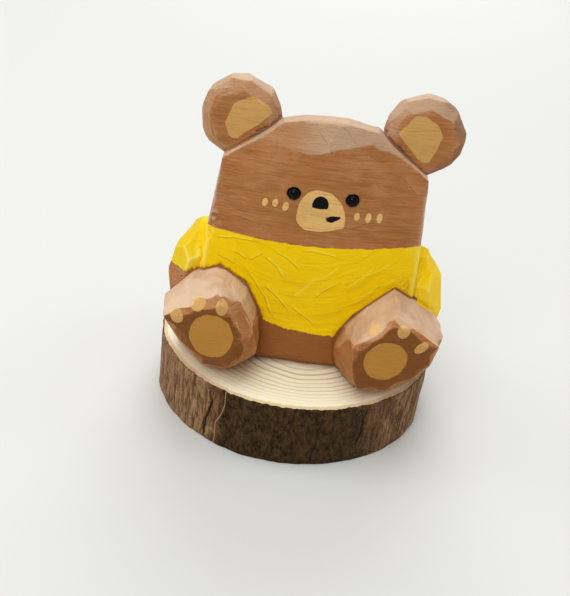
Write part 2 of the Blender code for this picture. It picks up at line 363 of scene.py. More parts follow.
class Value:
    """A node's output. Sums written with it add Math nodes."""

    def __init__(self, finish, socket):
        self.finish, self.socket = finish, socket

    def sum(self, operation, *numbers):
        inputs = dict(enumerate(numbers))
        return self.finish.node("ShaderNodeMath", {"operation": operation}, inputs)

    def __add__(self, other):
        return self.sum("ADD", self, other)

    def __sub__(self, other):
        return self.sum("SUBTRACT", self, other)

    def __rsub__(self, other):
        return self.sum("SUBTRACT", other, self)

    def __mul__(self, other):
        return self.sum("MULTIPLY", self, other)

    def __truediv__(self, other):
        return self.sum("DIVIDE", self, other)

    def __rtruediv__(self, other):
        return self.sum("DIVIDE", other, self)

    def __pow__(self, other):
        return self.sum("POWER", self, other)

    __radd__ = __add__
    __rmul__ = __mul__


class Finish:
    """A material, with its nodes."""

    def __init__(self, name):
        self.material = bpy.data.materials.new(name)
        self.material.use_nodes = True
        self.tree = self.material.node_tree
        self.shader = self.tree.nodes["Principled BSDF"]

    def node(self, kind, settings=None, inputs=None, out=0):
        """Any node: its settings first, then its sockets' values or links, by name or place."""
        made = self.tree.nodes.new(kind)
        for name, value in (settings or {}).items():
            setattr(made, name, value)
        for place, value in (inputs or {}).items():
            self.feed(made.inputs[place], value)
        return Value(self, made.outputs[out])

    def feed(self, socket, value):
        if isinstance(value, Value):
            self.tree.links.new(value.socket, socket)
        else:
            socket.default_value = value

    def shade(self, **inputs):
        """Sets the shader's own sockets. An underscore stands for a space."""
        for name, value in inputs.items():
            self.feed(self.shader.inputs[name.replace("_", " ")], value)

    def place(self):
        """The point on the piece, in mm."""
        found = self.node("ShaderNodeTexCoord", out="Object")
        return self.vector("SCALE", found, Scale=1 / MM)

    def vector(self, operation, one, other=None, out=0, **named):
        inputs = {0: one, **named}
        if other is not None:
            inputs[1] = other
        return self.node("ShaderNodeVectorMath", {"operation": operation}, inputs, out)

    def parts(self, vector):
        made = self.node("ShaderNodeSeparateXYZ", inputs={0: vector})
        sockets = made.socket.node.outputs
        return [Value(self, socket) for socket in sockets]

    def noise(self, place, stretch=(1, 1, 1), detail=3.0, roughness=0.55, warp=0.0, out=0):
        """Cloudy noise from 0 to 1. The stretch is how many clouds there are to a mm each way."""
        inputs = {
            "Vector": self.vector("MULTIPLY", place, stretch),
            "Scale": 1.0,
            "Detail": detail,
            "Roughness": roughness,
            "Distortion": warp,
        }
        return self.node("ShaderNodeTexNoise", inputs=inputs, out=out)

    def attribute(self, name):
        return self.node("ShaderNodeAttribute", {"attribute_name": name}, out="Fac")

    def step(self, value, low, high):
        """0 below low and 1 above high, with a smooth rise between. Low may be the higher one."""
        inputs = {"Value": value, "From Min": low, "From Max": high}
        return self.node("ShaderNodeMapRange", {"interpolation_type": "SMOOTHSTEP"}, inputs)

    def mix(self, share, one, other):
        inputs = {0: share, 6: one, 7: other}
        return self.node("ShaderNodeMix", {"data_type": "RGBA"}, inputs, out=2)

    def coats(self, colour, *coats):
        """The colour under these coats, each given as its cover and its own colour."""
        for share, over in coats:
            colour = self.mix(share, colour, over)
        return colour

    def highest(self, *values):
        top = values[0]
        for value in values[1:]:
            top = top.sum("MAXIMUM", top, value)
        return top

    def lowest(self, *values):
        low = values[0]
        for value in values[1:]:
            low = low.sum("MINIMUM", low, value)
        return low

    def bumps(self, height, distance):
        """The bumps of a height, of which 1 stands for the distance in mm."""
        inputs = {"Height": height, "Distance": distance * MM, "Strength": 1.0}
        return self.node("ShaderNodeBump", inputs=inputs)

    # painted shapes, seen from the front: their value is how far a point is outside, in mm

    def oval(self, place, centre, radii, lean=0.0):
        """An ellipse: the length of the offset, turned upright and shared by the radii, less
        one, times the smaller radius. The lean is in degrees towards +X. A centre that has a
        depth too makes it a ball, which marks slanting wood no longer than upright wood."""
        depth, deep = (centre[1], radii[1]) if len(centre) == 3 else (0, 1e6)
        inputs = {
            "Vector": place,
            "Location": (centre[0], depth, centre[-1]),
            "Rotation": (0, math.radians(lean), 0),
            "Scale": (radii[0], deep, radii[1]),
        }
        local = self.node("ShaderNodeMapping", {"vector_type": "TEXTURE"}, inputs)
        return (self.vector("LENGTH", local, out="Value") - 1.0) * min(radii)

    def ledge(self, place, one, other, fade):
        """A brush stroke's raised edge between two points: it rises at once on its left side and
        falls off over the fade's length, and it thins out towards both ends."""
        one, other = np.array(one, float), np.array(other, float)
        along = unit(other - one)
        across = np.array((-along[1], along[0]))
        middle = (one + other) / 2
        half = np.linalg.norm(other - one) / 2
        beside = self.dot(place, across) - float(across @ middle)
        ahead = self.dot(place, along) - float(along @ middle)
        beside = beside + ahead * ahead * (0.12 / half)
        ends = self.step(ahead.sum("ABSOLUTE", ahead), float(half), float(half * 0.6))
        return self.step(beside, 0.0, 0.35) * self.step(beside, fade, 0.35) * ends

    def dot(self, place, direction):
        """How far a point is across and up in this direction."""
        direction = (float(direction[0]), 0, float(direction[1]))
        return self.vector("DOT_PRODUCT", place, direction, out="Value")

    def patch(self, place, corners, rounding):
        """A convex shape with rounded corners: the greatest of the distances beyond its sides."""
        corners = np.array(corners, float)
        sides = np.roll(corners, -1, 0) - corners
        outward = unit(np.stack([sides[:, 1], -sides[:, 0]], -1))
        middle = corners.mean(0)
        outward *= np.sign(((corners - middle) * outward).sum(1))[:, None]
        reach = (corners * outward).sum(1)
        beyond = [
            self.dot(place, side) - float(how_far)
            for side, how_far in zip(outward, reach)
        ]
        top = beyond[0]
        for value in beyond[1:]:
            top = top.sum("SMOOTH_MAX", top, value, rounding)
        return top


# The bear's paint

BROWN = linear(177, 115, 65)
BROWN_DARK = linear(156, 98, 52)
# paler brush streaks, and a painted highlight along the raised strokes on the face
BROWN_PALE_AND_HIGHLIGHT = linear(190, 134, 86)
# pale ridges: partly worn paint, partly a painted highlight
BROWN_WORN_AND_HIGHLIGHT = linear(212, 172, 136)
# painted highlight on the legs' tops
BROWN_TOP_HIGHLIGHT = linear(222, 194, 166)
# painted highlight on the crown's rising facets and the ears' bevelled rims
BROWN_FACET_HIGHLIGHT = linear(188, 155, 124)
# painted shade in the creases
BROWN_CREASE_SHADE = linear(92, 46, 22)
# painted shade low on the belly
BELLY_SHADE_BROWN = linear(150, 92, 45)
# painted shade on the soles and on the right ear's far rim
BROWN_SHADE = linear(122, 71, 26)
# painted highlight on the head's front corners
EDGE_HIGHLIGHT = linear(238, 222, 208)
EAR_TAN = linear(212, 164, 96)
MUZZLE_TAN = linear(236, 190, 119)
# tan darkened with painted shade, for the big pads
PAD_TAN_SHADE = linear(190, 135, 57)
TOE_TAN = linear(208, 162, 96)
TAN_DARK = linear(176, 126, 66)
# painted highlight on tan where a foot faces up
TAN_TOP_HIGHLIGHT = linear(236, 198, 138)
YELLOW = linear(250, 208, 0)
# painted shade in the hollows of the brush's arcs
YELLOW_HOLLOW_SHADE = linear(232, 182, 0)
YELLOW_SHADED = linear(226, 190, 0)
# painted highlight on the crests of the brush's arcs
YELLOW_CREST_HIGHLIGHT = linear(255, 224, 20)
# painted highlights on the corners and ridges and along the raised strokes
YELLOW_EDGE_HIGHLIGHT = linear(255, 240, 120)
YELLOW_LIT = linear(255, 236, 70)
# thin yellow over brown, and painted shade in the creases
YELLOW_THIN_AND_CREASE_SHADE = linear(176, 104, 10)
RIM_BROWN = linear(150, 78, 22)
BLACK = linear(5, 5, 5)
PAINT_SHEEN = (1.0, 0.88, 0.68, 1.0)

# Painted shapes, in mm across and up as seen from the front
EAR_PATCHES = (
    (
        (-33, 105.2), (-30.7, 111.5), (-25.1, 114.6), (-20.7, 112.5), (-18.5, 109.6),
        (-29, 100.3), (-31.6, 101.1),
    ),
    (
        (20.6, 109.3), (24.9, 115.2), (27.4, 115.7), (31.8, 113.9), (34.8, 109.8),
        (32.3, 101), (29.6, 100.6),
    ),
)
MUZZLE = (
    (-7.1, 79), (-6.8, 84.4), (-4.8, 88.2), (-1.4, 89.8), (3.2, 89), (6.6, 86.2),
    (8.6, 82), (8.6, 77.8), (4.4, 76.1), (0.3, 75.3), (-4, 75.6), (-6.4, 77.3),
)
NOSE = (
    (-2.3, 83.6), (-2.6, 84.6), (-2.4, 86), (-1.6, 87.2), (-0.4, 87.8), (0.8, 87.7),
    (1.9, 87), (2.6, 85.6), (2.6, 84.5), (2.3, 83.7), (0.4, 83.3),
)
MOUTH = ((2.4, 80.6), (2.8, 79.4), (4.4, 79.2), (7, 81), (7, 81.6), (4, 81.5))
# Ovals: the middle, the radii in mm, and the lean in degrees
CHEEKS = (
    ((-17.4, 82.9), (0.95, 1.4), 12),
    ((-14.2, 83.3), (0.95, 1.45), 10),
    ((-10.8, 82.6), (1.05, 1.6), 14),
    ((12.1, 82.3), (0.95, 1.35), 0),
    ((15.8, 82.2), (0.95, 1.75), 0),
    ((19.4, 82.4), (0.95, 1.7), -4),
)
# Balls: the same, with a depth in the middle
PADS = (((-29, -42, 42), (7.2, 8.2), 4), ((27.8, -42, 41.3), (7, 7.5), 8))
TOES = (
    ((-40.6, -40.9, 47.2), (2.1, 2.6), -14),
    ((-34.1, -39.7, 52.3), (2.5, 2.8), 0),
    ((-26.4, -41.8, 53.2), (2.1, 2.8), 4),
    ((22.5, -38.9, 51.1), (2.4, 2.7), 0),
    ((31.8, -41.8, 52.9), (2.1, 2.5), 0),
    ((38.5, -41.1, 47.3), (1.6, 2.7), 42),
)
LEG_OUTLINES = (
    (
        (-46.6, 39.8), (-42.5, 23.4), (-15.5, 23.4), (-12.9, 37.2), (-14.1, 41.6),
        (-20.7, 53.1), (-29.7, 57.1), (-42.1, 50.3), (-46.4, 46.9),
    ),
    (
        (48.4, 27.1), (46.9, 46.7), (43.1, 49.2), (29.2, 57.5), (25, 54),
        (16.8, 46), (12.2, 37.9), (12, 33), (13.1, 23.4), (47.7, 23.4),
    ),
)
# Brush strokes that stand out: both ends, and how far they fade
FACE_STROKES = (
    ((-14.2, 102), (-20.1, 91.9), 6), ((-4.6, 108.9), (0.1, 103.2), 5),
    ((2.8, 110.6), (8.6, 105.3), 5), ((22.2, 90.6), (15, 93.9), 5),
    ((-29.6, 84), (-23.5, 81.8), 3), ((-7.3, 99.9), (-11.6, 102.7), 4),
    ((23.4, 84.4), (15.1, 86.3), 4), ((-24.1, 103.2), (-31.9, 97.1), 2.5),
    ((9.3, 77), (18.4, 81.3), 4), ((-17.5, 90.5), (-25.1, 87.7), 3.5),
    ((-28, 76.5), (-18, 75), 2.5), ((24, 97), (31, 90), 5),
)
YELLOW_STROKES = (
    ((-26.9, 64), (-21.2, 61.2), 4), ((-15.9, 64.7), (-7.3, 56.7), 5),
    ((-20.6, 61.2), (-15.8, 64.7), 2.5), ((4.1, 61.4), (-5.7, 49.4), 5),
    ((10.2, 64.6), (1.5, 57.3), 3.5), ((-24.3, 57.1), (-13.8, 41.5), 2.5),
    ((-21.7, 60.2), (-8.5, 40.3), 3.5), ((2.4, 51), (11.1, 58.7), 4),
    ((-5.5, 47.6), (6, 39.5), 3), ((-15.3, 54.5), (-3.8, 44.1), 3),
    ((-33.3, 67.3), (-17, 69), 4), ((-4.5, 68.5), (9.8, 67.1), 5),
    ((-13.7, 67.5), (-2.1, 60.5), 3), ((-31.5, 61.4), (-24.2, 58.8), 3),
    ((22, 66), (11, 54.5), 4), ((28, 67.5), (15, 60), 3),
    ((25, 60.5), (14.5, 49), 2.5), ((32, 63), (22, 57), 2.5),
)
SWEEP_MIDDLE = (-4.0, 0.0, 96.0)  # the brush's arcs on the yellow run round this point
SWEEP_LENGTH = 45.0  # mm along an arc to a radian

# Depths in mm that paint lies in front of, with less depth further forward
EAR_FRONT = -14.5
FACE_FRONT = -20.0
SOLE_FRONT = -36.0
LEG_ROOT = -12.0
BELLY_FRONT = -24.5
BULGE_RADIUS = 150.0
# Where a paint's share starts to change and where it has changed, in mm
CROWN_UP = (98.0, 103.0)
CROWN_DEPTH = (22.0, -6.0)
EARS_UP = (94.0, 96.0)
EARS_OUT = (17.0, 18.5)
FACE_FOOT = (62.0, 66.0)
FACE_TOP = (97.0, 93.0)
FEET_TOP = (62.0, 58.0)
BELLY_TOP = (46.0, 38.0)
BELLY_DEPTH = (-27.0, -25.5)
SOLE_DEPTH = (-34.0, -38.0)
STROKE_DEPTH = (-16.0, -19.0)
CORNER_OUT = (29.0, 32.0)
CORNER_DEPTH = (-14.0, -17.0)
CORNER_FOOT = (60.0, 64.0)
CORNER_TOP = (94.0, 90.0)
ARM_OUT = (37.6, 38.0)
LEFT_ARM_OUT = (-37.0, -39.0)
LEFT_HALF = (5.0, -5.0)
PAINT_EDGE = (0.12, -0.12)
BLACK_EDGE = (0.1, -0.1)
# The yellow's borders: heights in mm, and how fast they rise to both sides of a middle
NECK_HEIGHT, NECK_MIDDLE, NECK_CURVE = 69.7, -11.0, 0.0019
HEM_HEIGHT, HEM_MIDDLE, HEM_CURVE, HEM_HIGHEST = 37.0, 8.0, 0.0068, 40.5
CUFF_HEIGHT, LEFT_CUFF_RISE = 33.0, 18.2
THIN_PATCH = ((36.5, 55.0), (7.0, 7.0))  # where the yellow was brushed thin over the brown


class BearPaint(Finish):
    """Acrylic paint, brushed on by hand: brown all over, with a yellow top, tan patches and
    pads, and a black nose and mouth. Its ridges are paler, partly worn and partly a painted
    highlight; what looks up has painted highlights, and the creases, the soles and the low
    belly have painted shade."""

    def __init__(self):
        super().__init__("hand_painted_wood")
        self.spot = spot = self.place()
        self.ridge, self.crease = self.attribute("ridge"), self.attribute("crease")
        wobble = self.noise(spot, (0.3, 0.3, 0.3), detail=1.5, out="Color")
        wobble = self.vector("SUBTRACT", wobble, (0.5, 0.5, 0.5))
        self.drawn = self.vector("ADD", spot, self.vector("SCALE", wobble, Scale=1.1))
        self.drawn_finely = self.vector("ADD", spot, self.vector("SCALE", wobble, Scale=0.4))
        self.x, self.depth, self.up = self.parts(self.drawn)
        self.from_middle = self.x.sum("ABSOLUTE", self.x)
        self.facing = self.parts(self.node("ShaderNodeNewGeometry", out="Normal"))

        # the brush: long level strokes, fine hairs, clouds of thinner paint, and specks
        self.ragged = self.noise(spot, (1.1, 1.1, 0.5), detail=3) - 0.5
        self.strokes = self.noise(spot, (0.05, 0.12, 0.5), detail=4, roughness=0.6, warp=0.6)
        self.fine = self.noise(spot, (0.13, 0.35, 1.5), detail=4, roughness=0.65, warp=0.4)
        self.clouds = self.noise(spot, (0.07, 0.07, 0.1), detail=3)
        self.mottle = self.noise(spot, (0.8, 0.8, 0.8), detail=4, roughness=0.6)
        self.face_ledges = self.ledges(FACE_STROKES)
        self.yellow_ledges = self.ledges(YELLOW_STROKES)

        # places that more than one paint asks for
        self.crown = self.step(self.up, *CROWN_UP)
        self.rising = self.facing[2] + (self.mottle - 0.5) * 0.12
        # the legs' facets that look up, which get a painted highlight
        leg_tops = self.step(self.facing[1], -0.6, -0.35) * self.step(self.rising, 0.25, 0.6)
        self.leg_tops = leg_tops * (1.0 - self.crown)
        # the ridges at the front corners, which get a painted highlight
        corner = self.ridge * self.step(self.from_middle, *CORNER_OUT)
        self.corner = corner * self.step(self.depth, *CORNER_DEPTH)
        self.left_half = self.step(self.x, *LEFT_HALF)
        self.before_belly = self.depth - (BELLY_FRONT + (self.x * self.x) / (2 * BULGE_RADIUS))
        self.legs = self.lowest(*(self.patch(spot, corners, 0.6) for corners in LEG_OUTLINES))
        self.big_pads = self.lowest(*(self.oval(self.drawn, *pad) for pad in PADS))

    def ledges(self, strokes):
        """The raised edges of these brush strokes, on the front alone."""
        raised = self.highest(*(self.ledge(self.drawn, *stroke) for stroke in strokes))
        return raised * self.step(self.depth, *STROKE_DEPTH)

    def brown(self):
        """Brown, brushed level. It has painted highlights on the crown's rising facets, the ears'
        rims, the legs' tops, the head's front corners and the raised strokes on the face, and
        painted shade on the soles, the low belly, the right ear's far rim and in creases. Its
        ridges are paler, partly worn and partly a painted highlight."""
        step = self.step
        ears_up = step(self.up, *EARS_UP)
        # the crown's facets that rise, which get a painted highlight
        brow = step(self.rising, 0.14, 0.34) * (step(self.x, -14.0, 0.0) * 0.72 + 0.25)
        brow = self.highest(brow, step(self.rising, 0.5, 0.75)) * self.crown
        brow = brow * step(self.depth, *CROWN_DEPTH)
        # the ears' bevelled rims, which get a painted highlight
        near_rim = step(self.from_middle, *EARS_OUT) * ears_up * step(self.x, 37.0, 30.0)
        near_rim = near_rim * step(self.facing[1], -0.95, -0.8)
        # the right ear's rim that faces aside, which gets painted shade
        far_rim = step(self.x, 32.0, 35.0) * ears_up * step(self.facing[0], 0.2, 0.5)
        # the soles, which get painted shade
        soles = step(self.facing[1], -0.8, -0.93) * step(self.depth, *SOLE_DEPTH)
        # the low belly, which gets painted shade
        belly = step(self.up, *BELLY_TOP) * step(self.depth, *BELLY_DEPTH)
        # ridges, paler partly from wear and partly with a painted highlight
        worn_and_lit = self.ridge * step(self.mottle, 0.35, 0.65) * (self.crown * 0.25 + 0.15)
        head = step(self.up, *CORNER_FOOT) * step(self.up, *CORNER_TOP)
        return self.coats(
            self.mix(step(self.strokes, 0.36, 0.56) * 0.6 + 0.4, BROWN_DARK, BROWN),
            (step(self.clouds, 0.45, 0.7) * 0.45, BROWN_PALE_AND_HIGHLIGHT),
            (step(self.clouds, 0.45, 0.3) * 0.5, BROWN_DARK),
            (step(self.fine, 0.5, 0.66) * 0.55, BROWN_PALE_AND_HIGHLIGHT),
            (step(self.fine, 0.48, 0.32) * 0.7, BROWN_DARK),
            # painted highlight along the raised brush strokes on the face
            (self.face_ledges * 0.45, BROWN_PALE_AND_HIGHLIGHT),
            # painted highlight on the crown's rising facets and the ears' rims
            (self.highest(brow, near_rim * 0.45), BROWN_FACET_HIGHLIGHT),
            # painted highlight on the legs' tops
            (self.leg_tops * (step(self.clouds, 0.38, 0.6) * 0.35 + 0.55), BROWN_TOP_HIGHLIGHT),
            # painted shade on the right ear's far rim and on the soles
            (far_rim * 0.55, BROWN_SHADE),
            (soles * 0.9, BROWN_SHADE),
            # painted shade low on the belly
            (belly * 0.8, BELLY_SHADE_BROWN),
            # pale ridges: partly worn paint, partly a painted highlight
            (worn_and_lit, BROWN_WORN_AND_HIGHLIGHT),
            # painted highlight on the head's front corners
            (self.corner * head * 0.45, EDGE_HIGHLIGHT),
            # painted shade in the creases, deeper on the crown
            (step(self.crease, 0.15, 0.8) * (self.crown * 0.4 + 0.3), BROWN_CREASE_SHADE),
        )

    def tan(self):
        """Tan: lighter on the face than on the ears, darker with painted shade on the big pads, and
        with a painted highlight where a foot faces up."""
        step = self.step
        on_face = step(self.up, *FACE_FOOT) * step(self.up, *FACE_TOP)
        on_feet = step(self.up, *FEET_TOP)
        return self.coats(
            EAR_TAN,
            (on_face, MUZZLE_TAN),
            (on_feet, TOE_TAN),
            # painted shade on the big pads
            (on_feet * step(self.big_pads, 0.4, 0.0), PAD_TAN_SHADE),
            # painted highlight where a foot faces up
            (self.leg_tops * 0.8, TAN_TOP_HIGHLIGHT),
            (step(self.fine, 0.46, 0.3) * 0.45, TAN_DARK),
            (step(self.clouds, 0.5, 0.35) * 0.2, TAN_DARK),
        )

    def sweep(self):
        """The brush's trace on the yellow, where it went round under the face: noise that is
        read along the arcs and outwards."""
        offset = self.vector("SUBTRACT", self.spot, SWEEP_MIDDLE)
        offset = self.vector("MULTIPLY", offset, (1, 0, 1))
        aside, _, above = self.parts(offset)
        turn = aside.sum("ARCTAN2", aside, 0.0 - above)
        out = self.vector("LENGTH", offset, out="Value")
        inputs = {0: turn * SWEEP_LENGTH, 1: self.depth, 2: out}
        arc = self.node("ShaderNodeCombineXYZ", inputs=inputs)
        return self.noise(arc, (0.05, 0.15, 0.5), detail=4, roughness=0.55, warp=0.5)

    def yellow(self, sweep):
        """Yellow, brushed in arcs, with painted shade in their hollows and a painted highlight on
        their crests: painted shade on the left arm, thin on a patch of the right one, painted
        highlights along the strokes that stand out, at the corners and on the ridges, painted
        shade in the creases, and brown where it meets a leg."""
        step = self.step
        thin = self.oval(self.drawn, *THIN_PATCH) + (self.mottle - 0.5) * 18.0
        thin = step(thin, 1.5, -2.5) * step(self.from_middle, 34.5, 33.5)
        thin = thin * step(self.depth, *CORNER_DEPTH)
        rim = step(self.legs + self.ragged * 2.8, 1.4, 0.3)
        rim = rim * step(self.before_belly, 3.0, 2.0)
        return self.coats(
            # painted shade in the arcs' hollows and a painted highlight on their crests
            self.mix(step(sweep, 0.46, 0.28) * 0.35, YELLOW, YELLOW_HOLLOW_SHADE),
            (step(sweep, 0.55, 0.75) * 0.4, YELLOW_CREST_HIGHLIGHT),
            (step(self.x, *LEFT_ARM_OUT) * 0.75, YELLOW_SHADED),
            (thin * 0.35, YELLOW_THIN_AND_CREASE_SHADE),
            # painted highlights along the raised strokes, at the corners and on the ridges
            (step(self.yellow_ledges, 0.84, 0.99) * 0.4, YELLOW_LIT),
            (self.corner * 0.7 + self.ridge * 0.12, YELLOW_EDGE_HIGHLIGHT),
            # painted shade in the creases
            (step(self.crease, 0.15, 0.8) * 0.2, YELLOW_THIN_AND_CREASE_SHADE),
            (rim * (self.left_half * 0.65 + 0.15), RIM_BROWN),
        )

    def yellow_area(self):
        """Under the neck's line, above the hem and the cuffs, and not on the legs."""
        neck = self.up - (NECK_HEIGHT + (self.x - NECK_MIDDLE) ** 2.0 * NECK_CURVE)
        aside = self.x - HEM_MIDDLE
        hem_line = self.lowest(HEM_HEIGHT + aside * aside * HEM_CURVE, HEM_HIGHEST)
        hem = hem_line + self.ragged * 2.2 - self.up
        cuff = self.left_half * LEFT_CUFF_RISE + CUFF_HEIGHT + self.ragged * 1.2 - self.up
        on_arm = self.step(self.from_middle, *ARM_OUT)
        top = self.highest(neck, hem * (1.0 - on_arm) + cuff * on_arm)
        right_arm = on_arm * (1.0 - self.left_half)
        leg_side = self.highest(self.legs - 0.4, self.depth - LEG_ROOT + right_arm * 10.0)
        on_leg = self.lowest(self.before_belly + 0.45, leg_side)
        return self.step(self.highest(top, 0.0 - on_leg), *PAINT_EDGE)

    def tan_area(self):
        """The ears' patches, the muzzle, the cheeks' dashes, the pads and the toes."""
        ears = self.lowest(*(self.patch(self.drawn, corners, 0.8) for corners in EAR_PATCHES))
        cheeks = self.lowest(*(self.oval(self.drawn_finely, *dash) for dash in CHEEKS))
        face = self.lowest(self.patch(self.drawn_finely, MUZZLE, 0.9), cheeks)
        toes = self.lowest(*(self.oval(self.drawn_finely, *toe) for toe in TOES))
        area = self.lowest(
            self.highest(ears, self.depth - EAR_FRONT),
            self.highest(face, self.depth - FACE_FRONT),
            self.highest(self.big_pads, self.depth - SOLE_FRONT),
            toes,
        )
        return self.step(area, *PAINT_EDGE)

    def black_area(self):
        """The nose and the mouth."""
        nose = self.patch(self.drawn_finely, NOSE, 0.3)
        mouth = self.patch(self.drawn_finely, MOUTH, 0.35)
        area = self.highest(self.lowest(nose, mouth), self.depth - FACE_FRONT)
        return self.step(area, *BLACK_EDGE)

    def finished(self):
        """The material, with the paints laid over one another."""
        top, tans, blacks = self.yellow_area(), self.tan_area(), self.black_area()
        sweep = self.sweep()
        brown_height = self.strokes * 0.5 + self.fine * 1.1 + self.mottle * 0.5
        brown_height = brown_height + self.face_ledges * 0.5
        yellow_height = sweep * 1.2 + self.yellow_ledges * 0.6 + self.fine * 0.3
        yellow_height = yellow_height + self.mottle * 0.4
        height = brown_height * (1.0 - top) + yellow_height * top
        height = height + tans * 0.35 + blacks * 0.35 + top * 0.4
        self.shade(
            Base_Color=self.coats(
                self.brown(), (top, self.yellow(sweep)), (tans, self.tan()), (blacks, BLACK)
            ),
            Roughness=0.5 - self.strokes * 0.14 - top * 0.05 + self.crease * 0.2,
            Normal=self.bumps(height, 0.45),
            Specular_IOR_Level=0.14,
            Specular_Tint=PAINT_SHEEN,
        )
        return self.material


# The eyes

BEAD_BLACK = linear(3, 3, 3)
BEAD_HAZE = linear(9, 8, 8)
BEAD_TURNS, BEAD_RISES = 56, 34


def bead_finish():
    """Polished black glass, with the faintest haze from handling."""
    glass = Finish("black_bead")
    haze = glass.noise(glass.place(), (1.5, 1.5, 1.5), detail=3)
    glass.shade(
        Base_Color=glass.mix(haze, BEAD_BLACK, BEAD_HAZE),
        Roughness=0.03 + haze * 0.04,
        Specular_IOR_Level=0.16,
        IOR=1.4,
    )
    return glass.material


def bead(centre, radius):
    """A ball as a function of its turn and its rise: the radius times the rise's cosine out from
    the axis, and times its sine along the axis."""
    rises = np.linspace(-math.pi / 2, math.pi / 2, BEAD_RISES)[1:-1, None]
    out = radius * np.cos(rises) * np.ones((1, BEAD_TURNS))
    along = radius * np.sin(rises) * np.ones((1, BEAD_TURNS))
    points, quads, fans = lathe(out, along, BEAD_TURNS)
    points[-2:, 2] = (-radius, radius)
    mesh = bpy.data.meshes.new("bead")
    mesh.from_pydata(points + np.array(centre), [], quads.tolist() + fans.tolist())
    return mesh


# The slice of log


def lattice_noise(turn, up, around, levels, hand):
    """Smooth noise from -1 to 1 on a band that closes on itself: random numbers on a lattice of
    so many cells around and upward, joined by smooth steps."""
    numbers = hand.uniform(-1, 1, (levels + 2, around))
    column = turn / (2 * math.pi) * around
    row = np.clip(up, 0, 1) * levels
    left, low = np.floor(column).astype(int), np.floor(row).astype(int)
    aside, above = column - left, row - low
    aside, above = aside * aside * (3 - 2 * aside), above * above * (3 - 2 * above)
    right = (left + 1) % around
    left = left % around
    below = numbers[low, left] * (1 - aside) + numbers[low, right] * aside
    over = numbers[low + 1, left] * (1 - aside) + numbers[low + 1, right] * aside
    return below * (1 - above) + over * above


def hill(distance, width):
    """1 at no distance and 0 from the width on, by a smooth step."""
    near = np.clip(1 - np.abs(distance) / width, 0, 1)
    return near * near * (3 - 2 * near)


def rise(value, low, high):
    share = np.clip((value - low) / (high - low), 0, 1)
    return share * share * (3 - 2 * share)


# Cracks in the bark: turn in degrees at their foot and top, heights of both as shares, width mm
CRACKS = (
    (234.4, 237.6, 0.0, 0.82, 0.75),
    (299.3, 302.5, 0.2, 1.0, 0.6),
    (319.5, 322.7, 0.3, 0.68, 0.7),
    (330.4, 332.5, 0.3, 0.62, 0.7),
)
BACK_CRACKS = 15
# The edge of a flake of bark: height as a share, and turn in degrees
FLAKE = ((0.0, 240.4), (0.41, 240.9), (0.76, 244.2), (1.0, 243.6))
# How dark and mossy the bark is, by turn in degrees
BARK_TONES = (
    (0, 0.45), (30, 0.7), (75, 0.35), (110, 0.8), (150, 0.55), (185, 0.25), (200, 0.1),
    (230, 0.12), (236, 0.4), (241, 0.5), (244.5, 0.95), (268, 1.0), (290, 0.85), (303, 0.6),
    (318, 0.35), (340, 0.3), (360, 0.45),
)
FURROWS = 23  # times the turn, as on the CAD slice
# The slice's rows: mm in from the rim on top, and shares of the foot's radius underneath
RIM_STEPS = (0.15, 0.6, 1.15, 1.7, 2.3, 3.2)
TOP_STEPS = (5, 48.4, 13)
BOTTOM_SHARES = (0.02, 0.25, 0.5, 0.72, 0.88, 0.96, 0.985)
RIM_ROUNDING = 0.35  # mm that the bark draws in at its foot and top
RIM_ROUNDING_HEIGHT = 0.5  # mm
CHIP_DEPTHS = (0.45, 0.35, 0.15)  # mm: the top, the bark's last row, and the row under it


def crack_darkness(degrees, up, hand):
    """1 in the middle of a crack and 0 beside it. A crack wanders and closes at both ends."""
    listed = list(CRACKS)
    for _ in range(BACK_CRACKS):
        foot, low = hand.uniform(-20, 190), hand.uniform(0, 0.4)
        length = hand.uniform(0.3, 0.6)
        top = foot + hand.uniform(-4, 4)
        listed.append((foot, top, low, low + length, hand.uniform(0.4, 0.8)))
    cracks = np.zeros_like(degrees)
    for foot, top, low, high, width in listed:
        share = (up - low) / (high - low)
        middle = foot + (top - foot) * share
        middle = middle + 0.45 * np.sin(9 * up + foot) + 0.2 * np.sin(31 * up)
        aside = (degrees - middle + 180) % 360 - 180
        ends = np.clip(np.minimum(share, 1 - share) * 5 + 0.15, 0, 1)
        ends = ends * (share > -0.03) * (share < 1.03)
        cracks = np.maximum(cracks, hill(np.radians(aside) * ROUND_RADIUS, width) * ends)
    return cracks


